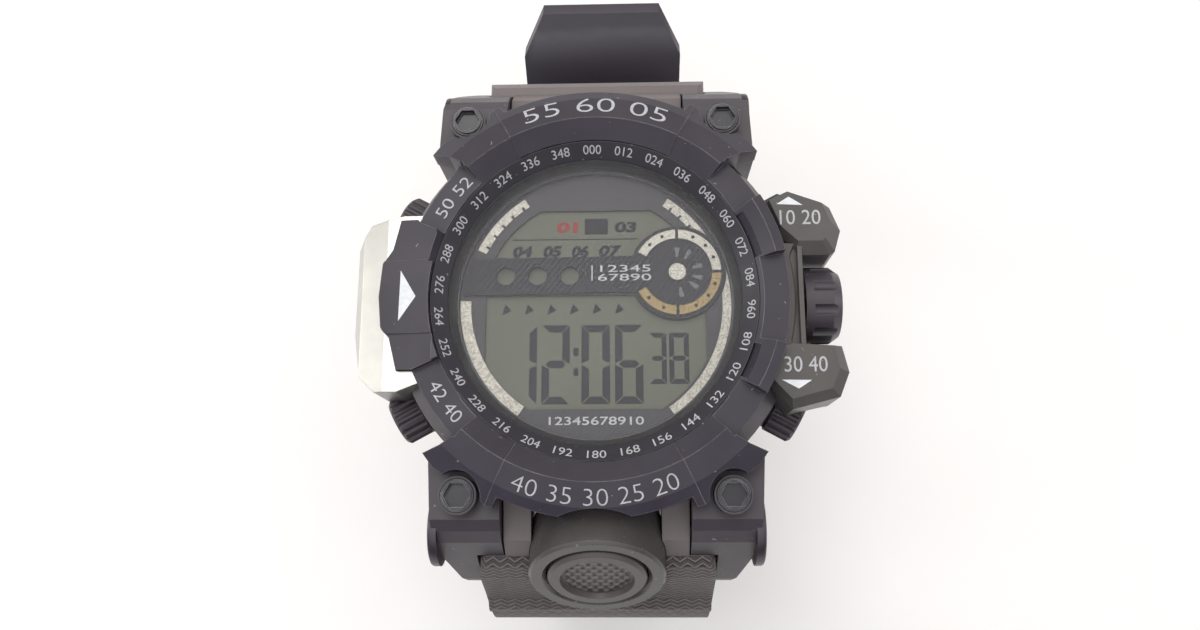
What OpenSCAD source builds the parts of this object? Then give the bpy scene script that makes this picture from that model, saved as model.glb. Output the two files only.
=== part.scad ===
// Digital sports watch on its buckled resin strap, face up.
// Millimetres, +Z up, +Y to 12 o'clock, +X to 3 o'clock. The origin is on the flat
// underside of the closed strap, straight below the middle of the dial.

/* [Head] */
// Height of the number ring's plane over the surface the strap stands on
ring_z = 66; // [63:0.5:72]
// Radius of the case wall
case_r = 22.3; // [22.1:0.1:22.6]
// Depth of the case's lower face under the ring plane
case_depth = 14.3; // [14.1:0.1:14.8]
// Thickness of the screwed case back
back_t = 1.2; // [0.9:0.1:1.5]
// Radius of the module cavity
cavity_r = 16.8; // [16.6:0.1:16.9]

/* [Bezel] */
// Radius of the round bore that holds the number ring
bezel_bore_r = 17.7; // [17.65:0.05:17.9]
// Radius of the crest between the two sloping bands
crest_r = 19.8; // [19.4:0.1:20.4]
// Height of the crest over the ring plane
crest_h = 1.0; // [0.6:0.1:1.4]
// Radius of the low bezel sectors
low_r = 20.9; // [20.7:0.1:21.2]
// Radius of the tall sectors at 12 and 6 o'clock
tall_r = 23.5; // [23.3:0.1:23.9]
// Angle of the tall sectors' parting lines from 12 o'clock
seam_a = 27.3; // [26.5:0.1:28]
// Depth of the parting steps
seam_step = 0.18; // [0.1:0.02:0.3]

/* [Dial] */
// Radius of the crystal
crystal_r = 16.2; // [16:0.05:16.3]
// Thickness of the crystal
crystal_t = 1.35; // [1.1:0.05:1.5]
// Radius of the opening over the dial
dial_open_r = 15.1; // [14.9:0.1:15.3]
// Outer radius of the silver arcs on the dial
arc_r = 15; // [14.8:0.05:15.05]
// Width of the silver arcs
arc_w = 1.2; // [1:0.05:1.3]
// Distance of the small dial's centre to the right of the middle
sub_x = 9.1; // [8.6:0.1:9.6]
// Distance of the small dial's centre above the middle
sub_y = 3.45; // [3.3:0.05:3.6]
// Radius of the small dial
sub_r = 5.35; // [5:0.05:5.45]

/* [Buttons] */
// Angle of the four pushers from the 3 o'clock line
pusher_a = 28.5; // [27.5:0.5:29.5]
// Radius of a pusher's knurled cap
cap_r = 2.75; // [2.5:0.05:2.8]
// Distance of a pusher's outer end from the middle
cap_reach = 26; // [25.6:0.1:26.4]
// Length of a pusher's knurled cap
cap_l = 4.2; // [4:0.1:4.5]
// Radius of the button stems
stem_r = 1.0; // [0.8:0.05:1.1]
// Travel of a pusher
push_travel = 1.0; // [0.8:0.05:1.1]
// Radius of the fluted side button
side_r = 4.3; // [4:0.1:4.5]
// Distance of the side button's outer end from the middle
side_reach = 26.9; // [26.5:0.1:27.3]
// Length of the side button's fluted part
side_l = 4; // [3.8:0.1:4.3]
// Radius of the front button's housing
front_r = 7.45; // [7.2:0.05:7.6]
// Radius of the front button
front_cap_r = 5.4; // [5.1:0.05:5.5]
// Travel of the side and front buttons
big_travel = 0.8; // [0.6:0.05:0.9]

/* [Strap] */
// Width of the strap at the head
strap_w_head = 26.1; // [25.8:0.1:26.4]
// Width of the strap at the buckle
strap_w = 23.5; // [23:0.1:24]
// Width of the long strap's free end
tail_w = 23; // [22:0.1:23.5]
// Thickness of the long strap
long_t = 2.6; // [2.4:0.05:2.8]
// Thickness of the short strap
short_t = 2.8; // [2.6:0.05:3]
// Thickness of both straps where they leave the head
head_t = 4.6; // [4.2:0.1:4.8]
// Space between the two straps where one lies on the other
strap_gap = 0.25; // [0.2:0.05:0.4]
// Spacing of the holes in the long strap
hole_pitch = 6.5; // [6:0.1:8]
// Width of a strap hole
hole_w = 2.6; // [2.5:0.05:3]
// Length of the free end past its last bend
tail_len = 11; // [9:0.5:13]
// Width of the keeper along the strap
keeper_l = 6; // [5:0.5:7]
// Thickness of the buckle frame's side arms
arm_t = 2.2; // [1.8:0.1:2.4]

/* [Hidden] */
$fn = 96;

// Colours
resin = [0.13, 0.125, 0.15];
soft_resin = [0.17, 0.165, 0.185];
silver = [0.78, 0.77, 0.74];
steel = [0.62, 0.62, 0.63];
black_rubber = [0.08, 0.08, 0.08];
cream = [0.82, 0.8, 0.68];
lcd_olive = [0.52, 0.53, 0.43];
board_green = [0.1, 0.32, 0.2];

// Shared clearances
fit_gap = 0.05;
run_gap = 0.05;
press_gap = 0.15;
cut_over = 1;

// Heights in the head, measured from the ring plane
case_top = -2.1;
crystal_top = -1.95;
crystal_low = crystal_top - crystal_t;
gasket_t = 0.45;
ledge_top = crystal_low - gasket_t;
ledge_t = 0.75;
ledge_low = ledge_top - ledge_t;
mask_t = 0.35;
mask_top = ledge_low - fit_gap;
mask_low = mask_top - mask_t;
lcd_t = 1.6;
lcd_top = mask_low - fit_gap;
lcd_low = lcd_top - lcd_t;
guide_t = 0.8;
guide_top = lcd_low - fit_gap;
board_t = 0.6;
board_top = lcd_low - 1.9;
board_low = board_top - board_t;
cell_r = 10;
cell_t = 2.5;
cell_top = board_low - 0.8;
cell_low = cell_top - cell_t;
clip_t = 0.2;
back_z = -case_depth;
crystal_bore_r = crystal_r + press_gap;
frame_r = 14.8;
frame_in_r = 12.8;
button_z = -10.9;

// Lugs and strap pins
boss_x = 14.45;
boss_y = 20.97;
boss_r = 2.05;
boss_top = -2.4;
boss_cut_r = 2.6;
pin_y = 24.4;
pin_z = -9;
pin_r = 0.9;
pin_head_r = 3.9;
pin_head_t = 1.05;
pin_in_x = 8.3;
lug_in_x = 10.2;
tongue_x = lug_in_x - press_gap;
lug_split_y = 27.1;
lug_wide_x = strap_w_head / 2 + press_gap;
lug_out_x = lug_wide_x + 4.5;
pin_head_x = lug_out_x - 0.65;
lug_bottom = -15.2;

// Front button place: face centre and tilt from upright
front_c = [0.05, -29.6, -7.9];
front_tilt = 60;
front_depth = 6.2;
front_bore_r = front_cap_r + press_gap;
front_bore_l = 4.6;

// Strap route, in the plane across the wrist
head_y = 29.4;
head_z = ring_z - 16.8;
head_slope = 64;
head_run = 5.5;
bend_r = 8;
flat_back = -3;
flat_front = 10.4;
buckle_slope = 10;
buckle_r = 12;
rise_a = 50;
rise_r = 22;
side_a_long = 266;
side_a_short = 276;
corner_r_long = 20;
corner_r_short = 15;
tail_run = 21;
tail_bend_r = 30;
tail_bend_a = 9;
lay = long_t / 2 + strap_gap + short_t / 2;
arc_steps_deg = 6;

// One leg of a route is [length, turn]; a place is [y, z, heading].
function leg_end(p, leg) = leg[1] == 0
    ? [p[0] + leg[0] * cos(p[2]), p[1] + leg[0] * sin(p[2]), p[2]]
    : let (r = leg[0] / (leg[1] * PI / 180), h = p[2] + leg[1])
      [p[0] + r * (sin(h) - sin(p[2])), p[1] - r * (cos(h) - cos(p[2])), h];
function arc_leg(r, turn) = [r * abs(turn) * PI / 180, turn];
function shift(h, leg) = let (e = leg_end([0, 0, h], leg)) [e[0], e[1]];
function leg_start(p, legs, i) = i == 0 ? p : leg_end(leg_start(p, legs, i - 1), legs[i - 1]);
function len_before(legs, i) = i == 0 ? 0 : len_before(legs, i - 1) + legs[i - 1][0];
function leg_parts(leg) = leg[1] == 0 ? 1 : ceil(abs(leg[1]) / arc_steps_deg);
// Stations are [y, z, heading, length so far]
function stations(p, legs) = concat(
    [for (i = [0:len(legs) - 1], k = [0:leg_parts(legs[i]) - 1])
        let (f = k / leg_parts(legs[i]),
             e = leg_end(leg_start(p, legs, i), [legs[i][0] * f, legs[i][1] * f]))
        [e[0], e[1], e[2], len_before(legs, i) + legs[i][0] * f]],
    [let (e = leg_start(p, legs, len(legs))) [e[0], e[1], e[2], len_before(legs, len(legs))]]);
function side_point(s, d) = [s[0] - sin(s[2]) * d, s[1] + cos(s[2]) * d];
// Lengths of two straights, at headings h1 and h2, that together cover the shift d
function two_runs(d, h1, h2) = let (k = sin(h2 - h1))
    [(d[0] * sin(h2) - d[1] * cos(h2)) / k, (cos(h1) * d[1] - sin(h1) * d[0]) / k];
function thick(s, t) = s < head_run ? head_t
    : s > head_run + 22 ? t : head_t + (t - head_t) * (s - head_run) / 22;
function outline(st, t) = concat(
    [for (s = st) side_point(s, thick(s[3], t) / 2)],
    [for (i = [len(st) - 1:-1:0]) side_point(st[i], -thick(st[i][3], t) / 2)]);

// Long strap, from the 6 o'clock head down, under and out to the free end
long_start = [-head_y, head_z, 180 + head_slope];
long_bend = arc_leg(bend_r, side_a_long - long_start[2]);
long_corner = arc_leg(corner_r_long, 360 - buckle_slope - side_a_long);
long_ease = arc_leg(buckle_r, buckle_slope);
long_gap = [flat_back, long_t / 2] - [long_start[0], long_start[1]]
    - shift(long_start[2], [head_run, 0]) - shift(long_start[2], long_bend)
    - shift(side_a_long, long_corner) - shift(360 - buckle_slope, long_ease);
long_runs = two_runs(long_gap, side_a_long, 360 - buckle_slope);
long_legs = [
    [head_run, 0], long_bend, [long_runs[0], 0], long_corner, [long_runs[1], 0], long_ease,
    [flat_front - flat_back, 0], arc_leg(rise_r, rise_a), [tail_run, 0],
    arc_leg(tail_bend_r, tail_bend_a), [tail_len, 0]];
slope_start = leg_start(long_start, long_legs, 5);
flat_start = leg_start(long_start, long_legs, 6);
rise_start = leg_start(long_start, long_legs, 8);
tip = leg_start(long_start, long_legs, len(long_legs));

// Short strap, from the 12 o'clock head down to the buckle bar, inside the long one
short_start = [head_y, head_z, 360 - head_slope];
short_bend = arc_leg(bend_r, side_a_short - short_start[2]);
short_corner = arc_leg(corner_r_short, 180 + rise_a - side_a_short);
short_rise = arc_leg(rise_r - lay, -rise_a);
short_gap = [flat_front, long_t / 2 + lay] - [short_start[0], short_start[1]]
    - shift(short_start[2], [head_run, 0]) - shift(short_start[2], short_bend)
    - shift(side_a_short, short_corner) - shift(180 + rise_a, short_rise);
short_runs = two_runs(short_gap, side_a_short, 180 + rise_a);
bar_run = 2.2;
short_legs = [
    [head_run, 0], short_bend, [short_runs[0], 0], short_corner, [short_runs[1], 0], short_rise,
    [flat_front - flat_back, 0], arc_leg(buckle_r - lay, -buckle_slope), [bar_run, 0]];
bar = leg_start(short_start, short_legs, len(short_legs));
bar_r = 0.75;
eye_r = 1.4;
prong_t = 0.85;
prong_w = 2;
prong_low = 0.13;
bar_l = strap_w + 2 * (press_gap * 3 + arm_t) - 0.4;
arm_in = strap_w / 2 + 0.45;

// A band of even width along a bent line
function unit(v) = v / norm(v);
function side_at(l, i) = let (
    a = i > 0 ? unit(l[i] - l[i - 1]) : unit(l[1] - l[0]),
    b = i < len(l) - 1 ? unit(l[i + 1] - l[i]) : a,
    m = unit([-a[1] - b[1], a[0] + b[0]])) m / (m * [-a[1], a[0]]);
function band(l, t) = concat([for (i = [0:len(l) - 1]) l[i] + side_at(l, i) * t / 2],
    [for (i = [len(l) - 1:-1:0]) l[i] - side_at(l, i) * t / 2]);

// Ordinary helpers
function flip(pts, sx, sy) = let (n = len(pts))
    [for (k = [0:n - 1]) let (p = pts[sx * sy > 0 ? k : n - 1 - k]) [sx * p[0], sy * p[1]]];
module head() { translate([0, 0, ring_z]) children(); }
module across(w) { rotate([90, 0, 90]) translate([0, 0, -w / 2]) linear_extrude(w) children(); }
module quads() { for (i = [0, 1], j = [0, 1]) mirror([i, 0, 0]) mirror([0, j, 0]) children(); }
module wedge(from, to, r, z0, z1) {
    translate([0, 0, z0]) linear_extrude(z1 - z0)
        polygon(concat([[0, 0]], [for (k = [0:6]) let (a = from + (to - from) * k / 6)
            r * [cos(a), sin(a)]]));
}
module ring(ro, ri, z0, z1) {
    rotate_extrude() polygon([[ri, z0], [ro, z0], [ro, z1], [ri, z1]]);
}
// Stands a piece made along +Z on a radial line at angle a
module radial(a, z) { rotate([0, 0, a]) translate([0, 0, z]) rotate([0, 90, 0]) children(); }
module at_front() { translate(front_c) rotate([front_tilt, 0, 0]) children(); }

// A wound spring along +Z, as one swept tube
function wire_ring(r, w, turns, len, i, n) = let (a = 360 * turns * i / n,
    z = w + (len - 2 * w) * i / n) [for (k = [0:5]) let (b = 60 * k)
    [(r + w * cos(b)) * cos(a), (r + w * cos(b)) * sin(a), z + w * sin(b)]];
module coil(r, w, turns, len) {
    n = round(turns * 12);
    pts = [for (i = [0:n]) each wire_ring(r, w, turns, len, i, n)];
    sides = [for (i = [0:n - 1], k = [0:5]) let (a = i * 6 + k, b = i * 6 + (k + 1) % 6)
        each [[a, b + 6, b], [a, a + 6, b + 6]]];
    ends = [[for (k = [0:5]) k], [for (k = [5:-1:0]) n * 6 + k]];
    polyhedron(pts, concat(sides, ends), convexity = 8);
}

// Case

lug_plan = [
    [lug_in_x, 16.2], [12.35, 13.1], [14.2, 14.9], [16, 16], [lug_out_x + 0.35, 16.75],
    [lug_out_x, 23.1], [lug_out_x - 0.3, 26.75], [lug_wide_x + 2.4, 29.7], [lug_wide_x + 1.1, 30.4],
    [lug_wide_x, 30.4], [lug_wide_x, lug_split_y], [lug_in_x, lug_split_y]];
lug_side = [
    [10, lug_bottom + 1.2], [24, lug_bottom], [30, lug_bottom], [29.8, -14.4], [28.8, -12.4],
    [25.8, -6.6], [24.6, -5.2], [23.4, -4.35], [10, -4.5]];
module lug() {
    difference() {
        union() {
            intersection() {
                translate([0, 0, -20]) linear_extrude(20) polygon(lug_plan);
                translate([14, 0, 0]) across(12) polygon(lug_side);
            }
            // pillar of the bezel's screw
            translate([boss_x, boss_y, boss_top - 6]) cylinder(r = boss_r, h = 6);
        }
        // seat of the strap pin's head and the pin's bore
        translate([pin_head_x, pin_y, pin_z]) rotate([0, 90, 0]) {
            cylinder(r = pin_head_r + press_gap, h = 4);
            translate([0, 0, -10]) cylinder(r = pin_r + fit_gap, h = 11);
        }
        // room for the case back
        translate([0, 0, back_z - 3]) cylinder(r = back_r + press_gap, h = 3);
    }
}
screw_r = 1.75;
screw_shank_r = 0.7;
module case_body() {
    wall = [[0, back_z], [case_r - 0.6, back_z], [case_r, back_z + 0.6], [case_r, -4.3],
            [low_r, case_top], [0, case_top]];
    color(resin) head() difference() {
        union() {
            difference() {
                rotate_extrude() polygon(wall);
                cylinder(r = 12, h = 60, center = true);
            }
            quads() lug();
            // boss that carries the front button's housing
            intersection() {
                at_front() translate([0, 0, -front_depth - 6]) cylinder(r = 6.9, h = 6);
                translate([-8, -27, back_z]) cube([16, 12, 12]);
            }
        }
        // cavity, dial opening and crystal seat
        translate([0, 0, back_z - cut_over]) cylinder(r = cavity_r, h = ledge_low - back_z + cut_over);
        translate([0, 0, ledge_low - cut_over]) cylinder(r = dial_open_r, h = 8);
        translate([0, 0, ledge_top]) cylinder(r = crystal_bore_r, h = 8);
        // groove for the back's gasket
        ring(cavity_r + 1.1, cavity_r + 0.3, back_z - cut_over, back_z + 0.5);
        // the four pushers and the side button
        for (a = [pusher_a, -pusher_a, 180 - pusher_a, 180 + pusher_a])
            radial(a, button_z) button_bore(cap_r + 0.25, pusher_floor);
        radial(0, side_z) button_bore(side_r + 0.2, side_floor);
        at_front() translate([0, 0, -front_depth]) cylinder(r = front_r + press_gap, h = 12);
        // screws: the bezel's in the bosses, the back's from below
        quads() {
            translate([boss_x, boss_y, boss_top - screw_head_t]) cylinder(r = screw_r + fit_gap, h = 4);
            translate([boss_x, boss_y, boss_top - 7]) cylinder(r = screw_shank_r, h = 8);
        }
        for (a = [45:90:315]) rotate([0, 0, a]) translate([back_screw_x, 0, back_z - 1])
            cylinder(r = 0.55, h = 4);
    }
}
back_screw_x = 19;
back_r = 20.4;
module case_back() {
    low = back_z - back_t;
    color(steel) head() difference() {
        rotate_extrude() polygon([[0, low], [back_r - 1.2, low], [back_r, low + 0.6], [back_r, back_z],
            [0, back_z]]);
        for (a = [45:90:315]) rotate([0, 0, a]) translate([back_screw_x, 0, low - 1]) {
            cylinder(r = 0.75, h = 4);
            cylinder(r = 1.25, h = 1.6);
        }
        // turned groove round the flat middle
        ring(16.2, 15.6, low - 1, low + 0.15);
    }
}
module back_gasket() {
    color(black_rubber) head() ring(cavity_r + 1.05, cavity_r + 0.35, back_z, back_z + 0.45);
}
module back_screws() {
    low = back_z - back_t;
    color(steel) head() for (a = [45:90:315]) rotate([0, 0, a]) translate([back_screw_x, 0, low]) difference() {
        union() {
            cylinder(r = 1.2, h = 0.6);
            cylinder(r = 0.55, h = back_t + 2.6);
        }
        translate([-1.5, -0.14, -1]) cube([3, 0.28, 1.3]);
        translate([-0.14, -1.5, -1]) cube([0.28, 3, 1.3]);
    }
}

// Bezel

wing_arc = [for (a = [-56:-13.5:-191]) [boss_x, boss_y] + boss_cut_r * [cos(a), sin(a)]];
wing_plan = concat(
    [[7, 15], [12.3, 12.75], [14.15, 14.7], [16, 15.85], [18.1, 16.6], [17.05, 18.05]],
    wing_arc, [[11.45, 22], [10.65, 22.25], [9.8, 20.8]]);
left_plate = [
    [-15.8, 8.5], [-21.04, 8.56], [-21.83, 5.28], [-22.9, 3.7], [-23.2, 0.04],
    [-22.87, -3.32], [-21.94, -4.32], [-21.02, -7.9], [-16.2, -7.9]];
right_lip = [
    [16.4, 10.8], [17.8, 10.9], [20.3, 6.6], [20.65, 4.6], [20.8, 0], [20.5, -5.4], [18.4, -9.6],
    [16.8, -9.8]];
module bezel_plan() {
    circle(r = low_r);
    for (a = [90, 270]) intersection() {
        circle(r = tall_r);
        rotate(a) polygon([[0, 0], for (k = [-3:3]) let (b = seam_a * k / 3) 30 * [cos(b), sin(b)]]);
    }
    for (sx = [-1, 1], sy = [-1, 1]) polygon(flip(wing_plan, sx, sy));
    polygon(left_plate);
}
outer_r = 27;
band_fall = 0.72;
plate_slope = 8.8;
module bezel() {
    skirt_low = -4.4;
    band_mid_r = 22.4;
    crest = [crest_r, crest_h];
    top = [
        [bezel_bore_r, case_top], [bezel_bore_r, -0.4], crest, [band_mid_r, 0.15],
        [outer_r, 0.15 - (outer_r - band_mid_r) * band_fall], [outer_r, skirt_low],
        [case_r + fit_gap, skirt_low], [case_r + fit_gap, -4.25], [low_r + 2 * fit_gap, case_top]];
    color(resin) head() difference() {
        intersection() {
            union() {
                rotate_extrude() polygon(top);
                // the left plate runs on inwards to the bore at one height
                intersection() { ring(crest_r + 0.5, bezel_bore_r, case_top, crest_h); wedge(156.4, 202.6, 30, -4, 3); }
            }
            translate([0, 0, -6]) linear_extrude(10) bezel_plan();
        }
        // low sectors, between the wings and the side blocks
        for (s = [[31, 46], [134, 156.5], [202.5, 226.3], [313.5, 329]])
            intersection() {
                low_cut(-0.04, -0.55);
                wedge(s[0], s[1], low_r + 0.05, -3, 4);
            }
        intersection() { low_cut(0.35, -0.3); wedge(-15.5, 12.5, low_r + 0.05, -3, 4); }
        // the wings lie a step lower than the tall sectors
        for (s = [[38, 89.8 - seam_a], [90.2 + seam_a, 142], [218, 269.8 - seam_a], [270.2 + seam_a, 322]])
            intersection() {
                rotate_extrude() polygon([[bezel_bore_r - 1, 5], [bezel_bore_r - 1, -0.4 - seam_step],
                    [bezel_bore_r, -0.4 - seam_step], [crest_r, crest_h - seam_step],
                    [band_mid_r, 0.15 - seam_step],
                    [outer_r + 1, 0.15 - seam_step - (outer_r + 1 - band_mid_r) * band_fall],
                    [outer_r + 1, 5]]);
                wedge(s[0], s[1], 34, -4, 6);
            }
        // room for the lugs, their screws and the front housing
        quads() translate([boss_x, boss_y, -6]) cylinder(r = boss_cut_r, h = 10);
        quads() translate([lug_in_x - 0.3, 18.4, -6]) cube([lug_out_x - lug_in_x + 1.8, 12, 3.5]);
        translate([front_c[0], front_c[1] - 2.3, -6]) cylinder(r = 9.5, h = 10);
        at_front() translate([0, 0, -front_depth - 4]) cylinder(r = front_r + press_gap, h = 14);
        // sloping facets on the side blocks' inner edges
        for (s = [[13, 29.5, 1.6, -0.9], [-30, -17.5, 1.6, -0.9], [156.4, 168, 1, -0.6]]) intersection() {
            rotate_extrude() polygon([[bezel_bore_r - 1, s[3]], [bezel_bore_r, s[3]],
                [bezel_bore_r + s[2], crest_h + 0.2 - (1.6 - s[2]) / 2], [bezel_bore_r + s[2], 3],
                [bezel_bore_r - 1, 3]]);
            wedge(s[0], s[1], 30, -3, 4);
        }
        // the left plate's flat slope, a little lower at both ends
        for (s = [[-8.1, 16.7, 0.42], [4, 4.62, 0.22], [-8.1, 4, 0.22]])
            translate([-bezel_bore_r, 0, s[2]]) rotate([0, -plate_slope, 0]) translate([-8, s[0], 0]) cube([8.7, s[1], 4]);
    }
}
module low_cut(rise, drop) {
    rotate_extrude() polygon([[bezel_bore_r - 1, 5], [bezel_bore_r - 1, -0.4 + rise],
        [bezel_bore_r, -0.4 + rise], [low_r + 0.1, -0.4 + drop], [outer_r, -0.4 + drop], [outer_r, 5]]);
}
screw_head_t = 1.2;
module bezel_screws() {
    color(resin) head() quads() translate([boss_x, boss_y, boss_top - screw_head_t]) difference() {
        union() {
            cylinder(r = screw_r, h = screw_head_t + 0.35);
            translate([0, 0, -4]) cylinder(r = screw_shank_r, h = 4);
        }
        translate([0, 0, screw_head_t - 0.35]) cylinder(r = 1.4, h = 2, $fn = 6);
        translate([0, 0, screw_head_t + 0.1]) difference() {
            cylinder(r = 3, h = 2);
            cylinder(r = screw_r - 0.2, h = 2);
        }
    }
}
module number_ring() {
    color(resin) head() rotate_extrude() polygon([[15.95, case_top], [bezel_bore_r - fit_gap, case_top],
        [bezel_bore_r - fit_gap, -0.55], [15.95, -1.9]]);
}

// Crystal, dial and display

module crystal() {
    color([0.8, 0.85, 0.85, 0.3]) head() rotate_extrude() polygon([[0, crystal_low],
        [crystal_r, crystal_low], [crystal_r, case_top - fit_gap], [15.9, case_top - fit_gap],
        [15.9, crystal_top], [0, crystal_top]]);
}
module crystal_gasket() {
    color(black_rubber) head() ring(crystal_r, dial_open_r + 0.1, ledge_top, crystal_low);
}
bridge_y = [1, 5.4];
window_x = 12.2;
module dial_windows() {
    intersection() {
        translate([-window_x, bridge_y[1]]) square([2 * window_x, 5.45]);
        circle(r = arc_r - arc_w - 1.3);
    }
    intersection() {
        translate([-window_x, -11.7]) square([2 * window_x, bridge_y[0] + 11.7]);
        circle(r = arc_r - arc_w - 0.05);
    }
}
hole_x = [-10, -6.45, -2.86];
hole_r = 1.05;
module dial_mask() {
    color(resin) head() translate([0, 0, mask_low]) linear_extrude(mask_t) difference() {
        circle(r = cavity_r - 0.4);
        difference() {
            dial_windows();
            translate([sub_x, sub_y]) circle(r = sub_r);
        }
        for (x = hole_x) translate([x, (bridge_y[0] + bridge_y[1]) / 2]) circle(r = hole_r);
    }
}
bridge_t = 0.4;
module dial_bridge() {
    color(soft_resin) head() translate([0, 0, mask_top]) difference() {
        union() {
            linear_extrude(bridge_t) intersection() {
                polygon([[-15, bridge_y[0]], [5.2, bridge_y[0] + 0.3], [5.2, bridge_y[1]],
                    [-15, bridge_y[1] - 0.2]]);
                circle(r = 14.7);
            }
            translate([sub_x, sub_y, 0]) cylinder(r = sub_r - 0.05, h = bridge_t);
        }
        for (x = hole_x) translate([x, (bridge_y[0] + bridge_y[1]) / 2, -1]) cylinder(r = hole_r, h = 3);
    }
}
module arc_band(from, to, ro, w, h) {
    intersection() {
        ring(ro, ro - w, 0, h);
        wedge(from, to, 30, -1, h + 1);
    }
}
module dial_arcs() {
    color(silver) head() translate([0, 0, mask_top]) difference() {
        dial_arc_bands();
        // room for the small dial's plate
        translate([sub_x, sub_y, -1]) cylinder(r = sub_r + 0.1, h = 4);
    }
}
module dial_arc_bands() {
    arc_band(178.4, 235.8, arc_r, arc_w, 0.2);
    arc_band(-55.4, 17, arc_r, arc_w * 0.8, 0.2);
    // the upper bars, notched along their inner edges
    difference() {
        union() {
            arc_band(123.2, 154.5, arc_r - 0.4, arc_w - 0.15, 0.2);
            arc_band(25, 56, arc_r - 0.4, arc_w - 0.15, 0.2);
        }
        for (a = [126.3, 132.7, 138.9, 145, 151.4, 52, 46.4, 39.9]) rotate([0, 0, a])
            translate([arc_r - arc_w - 0.5, -0.15, -1]) cube([0.65, 0.3, 3]);
    }
}
module small_dial_ring() {
    color(silver) head() translate([sub_x, sub_y, mask_top + bridge_t]) {
        difference() {
            ring(sub_r - 0.5, sub_r - 1.5, 0, 0.25);
            // gaps between the ring's segments, the widest towards the middle of the watch
            for (a = [-90, 0, 90]) rotate([0, 0, a]) translate([0, -0.17, -1]) cube([6, 0.34, 3]);
            wedge(152, 207, 8, -1, 2);
        }
        cylinder(r = 0.95, h = 0.3);
    }
}
lcd_half = [[6.8, 11.2], [10.6, 8.6], [12.8, 4.4], [12.8, -5.6], [11.2, -8.7], [7.9, -12]];
lcd_plan = concat(lcd_half, flip(lcd_half, -1, 1));
module lcd_panel() {
    color(lcd_olive) head() {
        translate([0, 0, lcd_low]) linear_extrude(lcd_t / 2) polygon(lcd_plan);
        translate([0, 0, lcd_low + lcd_t / 2]) linear_extrude(lcd_t / 2) polygon([for (p = lcd_plan)
            [p[0] * 0.985, p[1] * 0.985]]);
    }
}
module light_guide() {
    color(cream) head() translate([-10.2, -8.4, guide_top - guide_t]) cube([20.4, 15.2, guide_t]);
}
module lcd_connectors() {
    color([0.75, 0.45, 0.5]) head() for (y = [-10.6, 7.4])
        translate([-7, y, board_top]) cube([14, 1.5, lcd_low - board_top]);
}
module circuit_board() {
    color(board_green) head() translate([0, 0, board_low]) cylinder(r = frame_r - 0.5, h = board_t);
}
module timing_chip() {
    color([0.05, 0.05, 0.05]) head() translate([0, 3, board_low]) rotate([180, 0, 0])
        rotate_extrude() polygon([[0, 0], [3.4, 0], [2.9, 0.45], [0, 0.6]]);
}
module quartz_can() {
    color(steel) head() translate([-11.3, -3, board_low - 1]) rotate([-90, 0, 0]) {
        cylinder(r = 0.95, h = 5.6);
        translate([0, 0, 5.6]) cylinder(r = 0.5, h = 0.5);
    }
}
module backlight_led() {
    color([0.95, 0.95, 0.85]) head() translate([10.3, -1, board_top]) cube([1, 2, guide_top - board_top - 0.1]);
}
tab_angles = [pusher_a, -pusher_a, 180 - pusher_a, 180 + pusher_a];
module switch_tabs() {
    // spring contacts on the board's edge, down to the pushers and up to the side button
    color([0.8, 0.65, 0.3]) head() {
        for (a = tab_angles) rotate([0, 0, a]) translate([frame_r - 0.45, -1.1, board_low - 3.2]) cube([0.2, 2.2, 3.2]);
        translate([frame_r - 0.45, -1.1, board_low]) cube([0.2, 2.2, 3.2]);
        for (a = concat(tab_angles, [0])) rotate([0, 0, a])
            translate([frame_r - 1.6, -1.1, board_low - 0.2]) cube([1.35, 2.2, 0.2]);
    }
}
module module_frame() {
    low = cell_low;
    color([0.85, 0.85, 0.82]) head() difference() {
        translate([0, 0, low]) cylinder(r = frame_r, h = mask_low - fit_gap - low);
        // pocket of the display, guide and connectors
        translate([0, 0, board_top - 0.1]) linear_extrude(9) offset_plan();
        // board seat, open to below
        translate([0, 0, board_low - 0.25]) cylinder(r = frame_r - 0.45, h = board_t + 0.3);
        translate([0, 0, low - 1]) cylinder(r = frame_in_r, h = board_low - low + 1);
        // notches for the switch tabs
        for (a = tab_angles) rotate([0, 0, a]) translate([frame_r - 2.2, -1.4, low - 1]) cube([4, 2.8, board_low - low + 1.1]);
        translate([frame_r - 2.2, -1.4, board_low - 0.5]) cube([4, 2.8, 9]);
    }
}
module offset_plan() {
    polygon([for (p = lcd_plan) [p[0] * 1.012, p[1] * 1.015]]);
}
module coin_cell() {
    color(steel) head() rotate_extrude() polygon([[0, cell_low], [9.6, cell_low], [cell_r, cell_low + 0.3],
        [cell_r, cell_top - 0.7], [8.8, cell_top - 0.5], [8.8, cell_top], [0, cell_top]]);
}
module cell_clip() {
    color(steel) head() translate([0, 0, cell_low - clip_t]) {
        translate([-frame_r + 0.3, -2.5, 0]) cube([2 * frame_r - 0.6, 5, clip_t]);
        for (a = [0, 180]) rotate([0, 0, a]) translate([-2.5, 2.5 - 0.01, 0]) cube([5, 4, clip_t]);
    }
}
buzzer_t = 0.25;
module buzzer_disc() {
    color([0.8, 0.65, 0.3]) head() translate([0, 0, back_z]) {
        cylinder(r = 12.2, h = buzzer_t);
        cylinder(r = 9, h = buzzer_t * 2);
    }
}
module buzzer_spring() {
    z = back_z + buzzer_t;
    color(steel) head() rotate([0, 0, -60]) translate([11.2, 0, z]) coil(0.7, 0.16, 4, board_low - z);
}

// Buttons

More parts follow.
